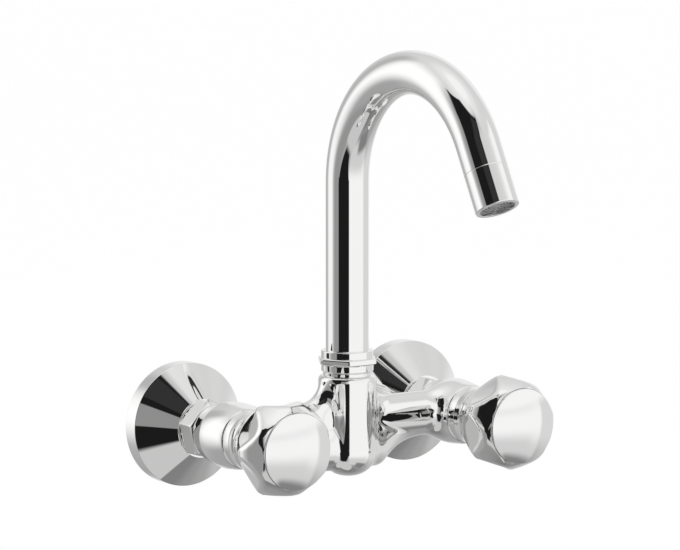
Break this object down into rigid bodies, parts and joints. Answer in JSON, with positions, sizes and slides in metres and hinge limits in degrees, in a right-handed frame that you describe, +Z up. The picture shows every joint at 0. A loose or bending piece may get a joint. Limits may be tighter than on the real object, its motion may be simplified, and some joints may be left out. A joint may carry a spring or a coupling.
{
  "type": "wall-mounted sink mixer",
  "caption": "Chromed wall-mounted sink mixer with conical wall flanges, lobed hot and cold knobs and a swivelling gooseneck spout.",
  "frame": {"origin": "on the wall face, half way between the axes of the two inlet threads", "axes": "+Z up, +Y into the wall, so the user stands at -Y, and +X along the wall from the hot (left) inlet to the cold (right) one"},
  "size_m": [0.219, 0.2212, 0.2467],
  "materials": {
    "chrome": "polished chrome plate on brass",
    "cap_chrome": "polished chrome plate",
    "brass": "machined",
    "rubber": "moulded",
    "ceramic": "lapped alumina ceramic",
    "steel": "bright stainless steel",
    "white_plastic": "moulded acetal",
    "grey_plastic": "moulded"
  },
  "bodies": {
    "fixed_parts": {"mixer_body": "chrome", "inlet_leg_left": "brass", "inlet_leg_right": "brass", "wall_flange_left": "chrome", "wall_flange_right": "chrome", "union_nut_left": "chrome", "union_nut_right": "chrome", "inlet_washer_left": "rubber", "inlet_washer_right": "rubber", "tailpiece_left": "brass", "tailpiece_right": "brass", "headwork_left": "brass", "headwork_right": "brass", "seat_seal_left": "rubber", "seat_seal_right": "rubber", "fixed_disc_left": "ceramic", "fixed_disc_right": "ceramic", "spout_nut": "chrome"},
    "left_handle": {"knob_left": "chrome", "knob_cap_left": "cap_chrome", "spindle_left": "brass", "moving_disc_left": "ceramic", "knob_screw_left": "steel", "spindle_o_ring_left": "rubber", "spindle_clip_left": "steel"},
    "right_handle": {"knob_right": "chrome", "knob_cap_right": "cap_chrome", "spindle_right": "brass", "moving_disc_right": "ceramic", "knob_screw_right": "steel", "spindle_o_ring_right": "rubber", "spindle_clip_right": "steel"},
    "spout": {"spout_tube": "chrome", "spout_foot": "brass", "spout_o_rings": "rubber", "split_ring": "white_plastic", "outlet_bush": "brass", "aerator_housing": "chrome", "aerator_washer": "rubber", "aerator_insert": "grey_plastic"}
  },
  "joints": [
    {"name": "left_handle_turn", "type": "hinge", "parent": "fixed_parts", "child": "left_handle", "pos_m": [-0.075, -0.0964, 0], "axis": [0, -1, 0], "range_deg": [0, 90]},
    {"name": "right_handle_turn", "type": "hinge", "parent": "fixed_parts", "child": "right_handle", "pos_m": [0.075, -0.0964, 0], "axis": [0, 1, 0], "range_deg": [0, 90]},
    {"name": "spout_swivel", "type": "hinge", "parent": "fixed_parts", "child": "spout", "pos_m": [0, -0.057, 0.03], "axis": [0, 0, 1], "range_deg": [-105, 105]}
  ]
}
